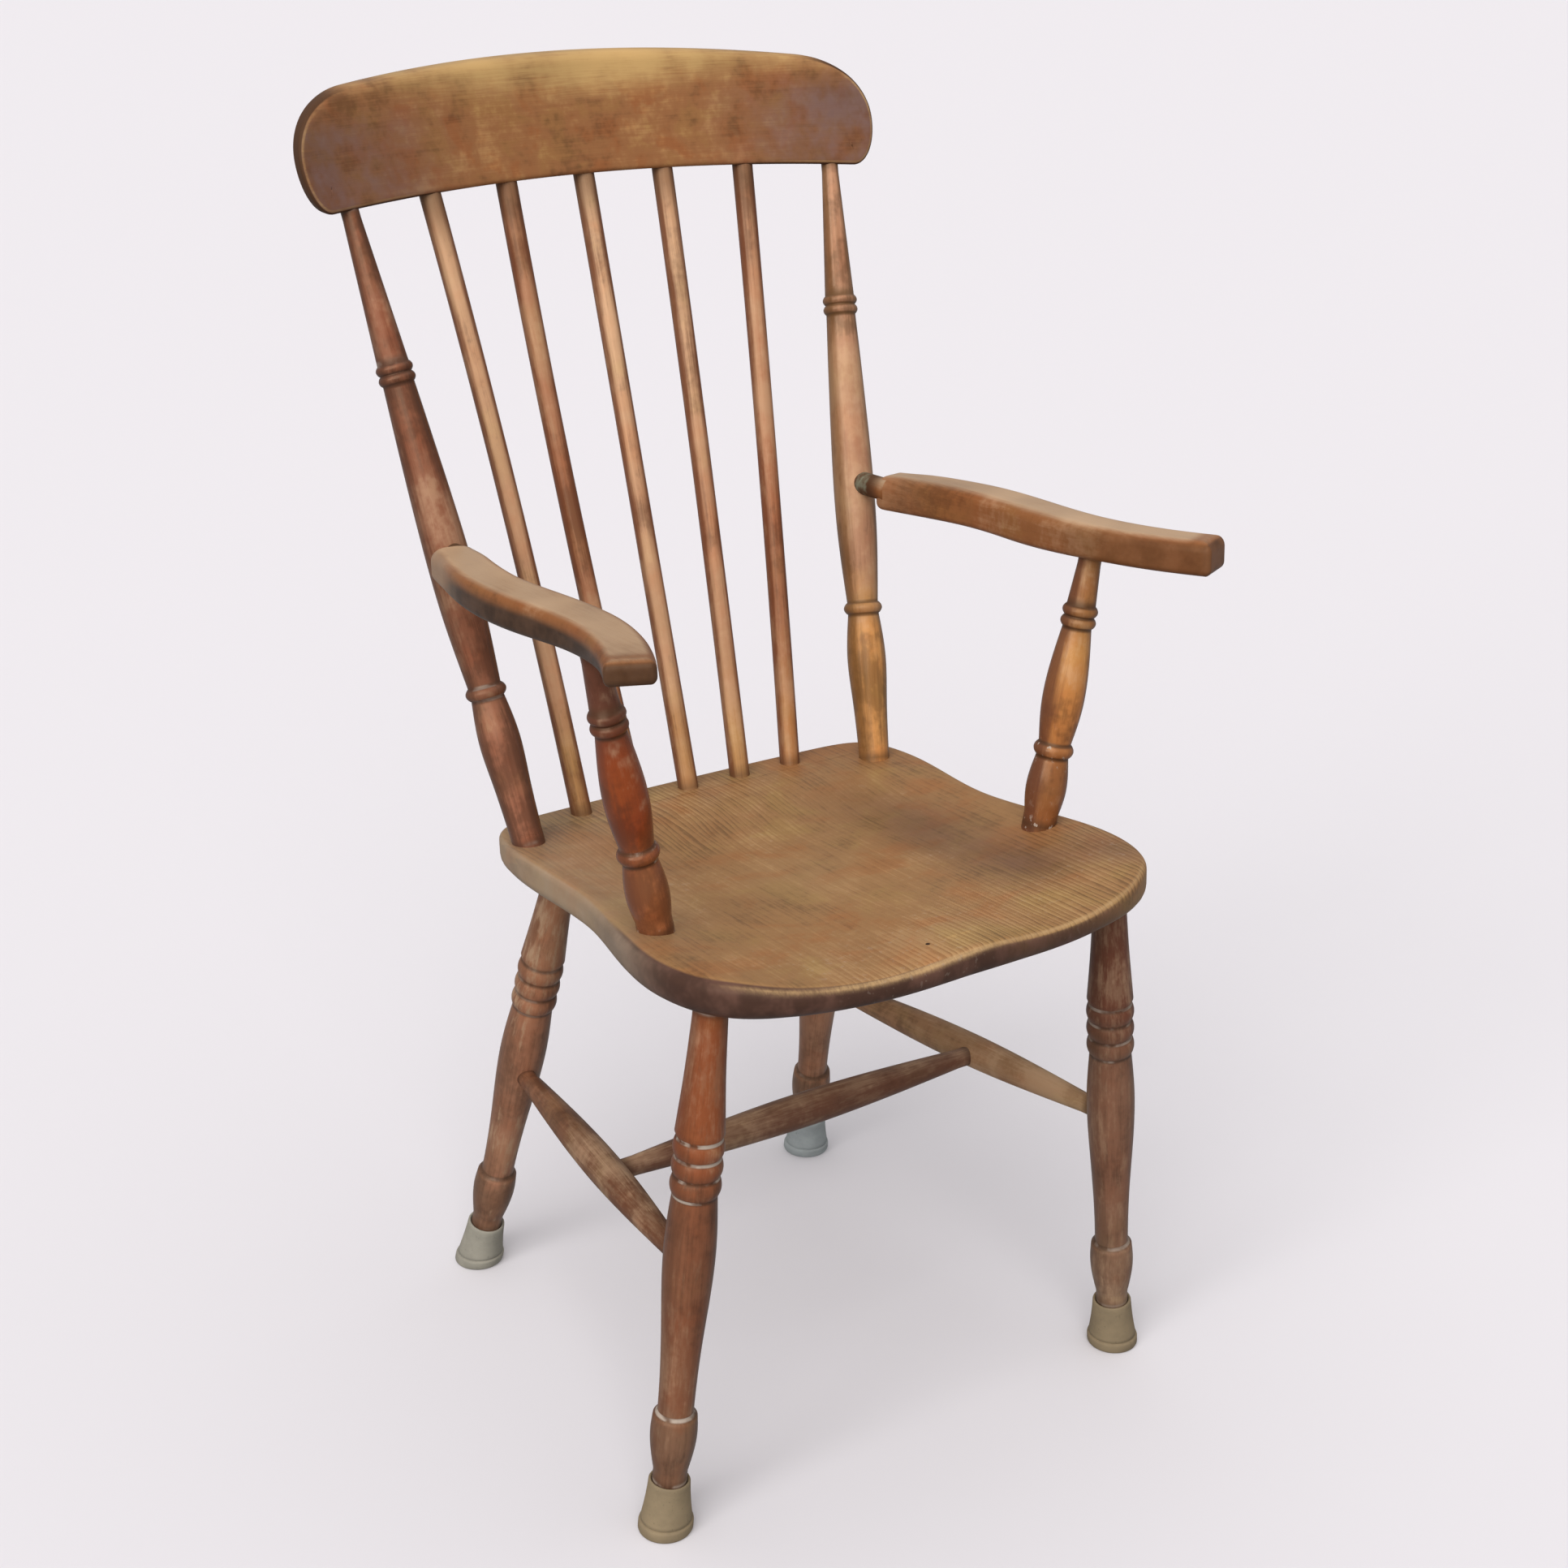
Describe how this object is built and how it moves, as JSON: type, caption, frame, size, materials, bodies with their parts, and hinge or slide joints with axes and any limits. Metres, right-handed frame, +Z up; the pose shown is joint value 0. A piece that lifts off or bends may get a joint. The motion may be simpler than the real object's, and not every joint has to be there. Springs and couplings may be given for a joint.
{
  "type": "windsor chair",
  "caption": "Wooden stick-back armchair with a saddled seat, turned posts, legs and arm supports, sawn arms, a broad bent crest rail and rubber ferrules on its feet.",
  "frame": {"origin": "on the floor, under the middle of the chair's bounding box", "axes": "+Z up, the chair faces -Y, +X is the right-hand side as seen from the front"},
  "size_m": [0.5308, 0.5994, 1.0132],
  "materials": {
    "seat_wood": "old waxed elm, worn on the saddle",
    "crest_wood": "old waxed elm, golden towards the top edge",
    "arm_wood": "old waxed wood, pale on the worn top",
    "post_wood": "turned wood, orange brown",
    "dark_wood": "turned wood, dark red brown",
    "support_wood": "turned wood, red orange",
    "leg_wood": "turned wood, red brown with dirt in the rings",
    "spindle_wood": "shaved wood, mid brown",
    "worn_wood": "turned wood worn pale",
    "rubber": "old grey olive rubber",
    "steel": "plain disc"
  },
  "bodies": {
    "root": {"seat": "seat_wood", "crest_rail": "crest_wood", "back_post_left": "dark_wood", "back_post_right": "post_wood", "arm_left": "arm_wood", "arm_right": "arm_wood", "arm_support_left": "support_wood", "arm_support_right": "support_wood", "front_leg_left": "leg_wood", "front_leg_right": "dark_wood", "rear_leg_left": "worn_wood", "rear_leg_right": "dark_wood", "side_stretcher_left": "worn_wood", "side_stretcher_right": "worn_wood", "cross_stretcher": "dark_wood", "front_ferrule_left": "rubber", "front_ferrule_right": "rubber", "rear_ferrule_left": "rubber", "rear_ferrule_right": "rubber", "front_washer_left": "steel", "front_washer_right": "steel", "rear_washer_left": "steel", "rear_washer_right": "steel", "spindle_1": "spindle_wood", "spindle_2": "spindle_wood", "spindle_3": "spindle_wood", "spindle_4": "spindle_wood", "spindle_5": "spindle_wood"}
  },
  "joints": []
}
